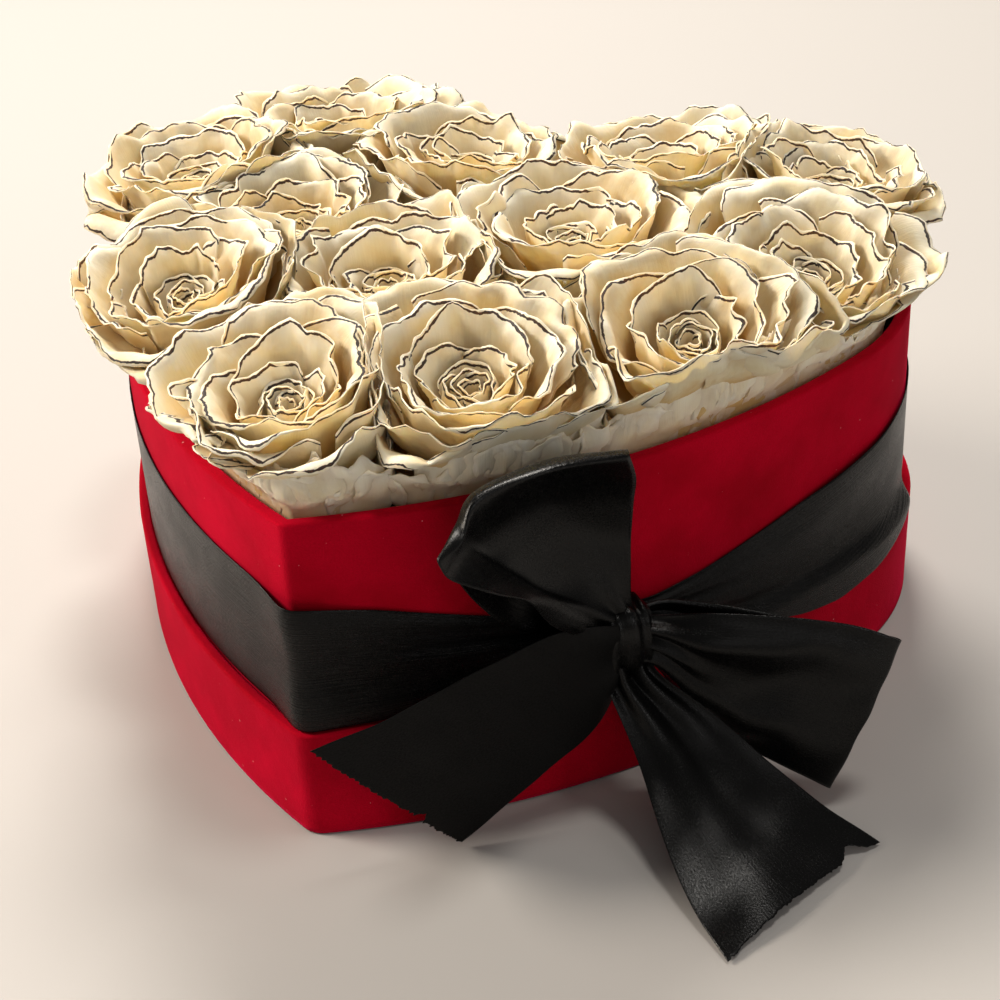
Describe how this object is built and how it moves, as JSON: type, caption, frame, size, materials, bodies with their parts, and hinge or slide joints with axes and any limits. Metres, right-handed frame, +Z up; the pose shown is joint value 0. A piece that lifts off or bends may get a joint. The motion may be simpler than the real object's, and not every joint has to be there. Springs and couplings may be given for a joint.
{
  "type": "flower box",
  "caption": "Heart-shaped velvet box of preserved cream roses with dark-lined petal edges, standing in its upturned lift-off lid and tied with a wide black satin ribbon and bow.",
  "frame": {"origin": "On the surface that the box stands on, on the heart's line of symmetry, halfway between its tip and the tops of its lobes.", "axes": "+X to the right across the heart, +Y from the tip towards the lobes along the line of symmetry, +Z up."},
  "size_m": [0.2563, 0.2257, 0.122],
  "materials": {
    "velvet": "deep red velvet, soft short nap",
    "greyboard": "matte grey board",
    "paper": "matte black lining paper",
    "foam": "dry floral foam, matte",
    "petals": "preserved rose petals, cream, matte with a soft sheen, a thin dark line inside each rim",
    "stem": "dry green stem and calyx",
    "ribbon": "black satin ribbon"
  },
  "bodies": {
    "lid": {"lid_velvet_panel": "velvet", "lid_panel_board": "greyboard", "lid_skirt_board": "greyboard", "lid_velvet_band": "velvet"},
    "box": {"box_base_paper": "paper", "box_floor_board": "greyboard", "box_wall_board": "greyboard", "box_velvet_band": "velvet", "box_lining": "paper", "foam_block": "foam", "rose_head_01": "petals", "rose_head_02": "petals", "rose_head_03": "petals", "rose_head_04": "petals", "rose_head_05": "petals", "rose_head_06": "petals", "rose_head_07": "petals", "rose_head_08": "petals", "rose_head_09": "petals", "rose_head_10": "petals", "rose_head_11": "petals", "rose_head_12": "petals", "rose_head_13": "petals", "rose_stem_01": "stem", "rose_stem_02": "stem", "rose_stem_03": "stem", "rose_stem_04": "stem", "rose_stem_05": "stem", "rose_stem_06": "stem", "rose_stem_07": "stem", "rose_stem_08": "stem", "rose_stem_09": "stem", "rose_stem_10": "stem", "rose_stem_11": "stem", "rose_stem_12": "stem", "rose_stem_13": "stem", "ribbon_band": "ribbon", "bow_knot": "ribbon", "bow_loop_upper": "ribbon", "bow_loop_right": "ribbon", "ribbon_tail_left": "ribbon", "ribbon_tail_right": "ribbon"}
  },
  "joints": [
    {"name": "box_lift", "type": "slide", "parent": "lid", "child": "box", "axis": [0, 0, 1], "range_m": [0, 0.05]}
  ]
}
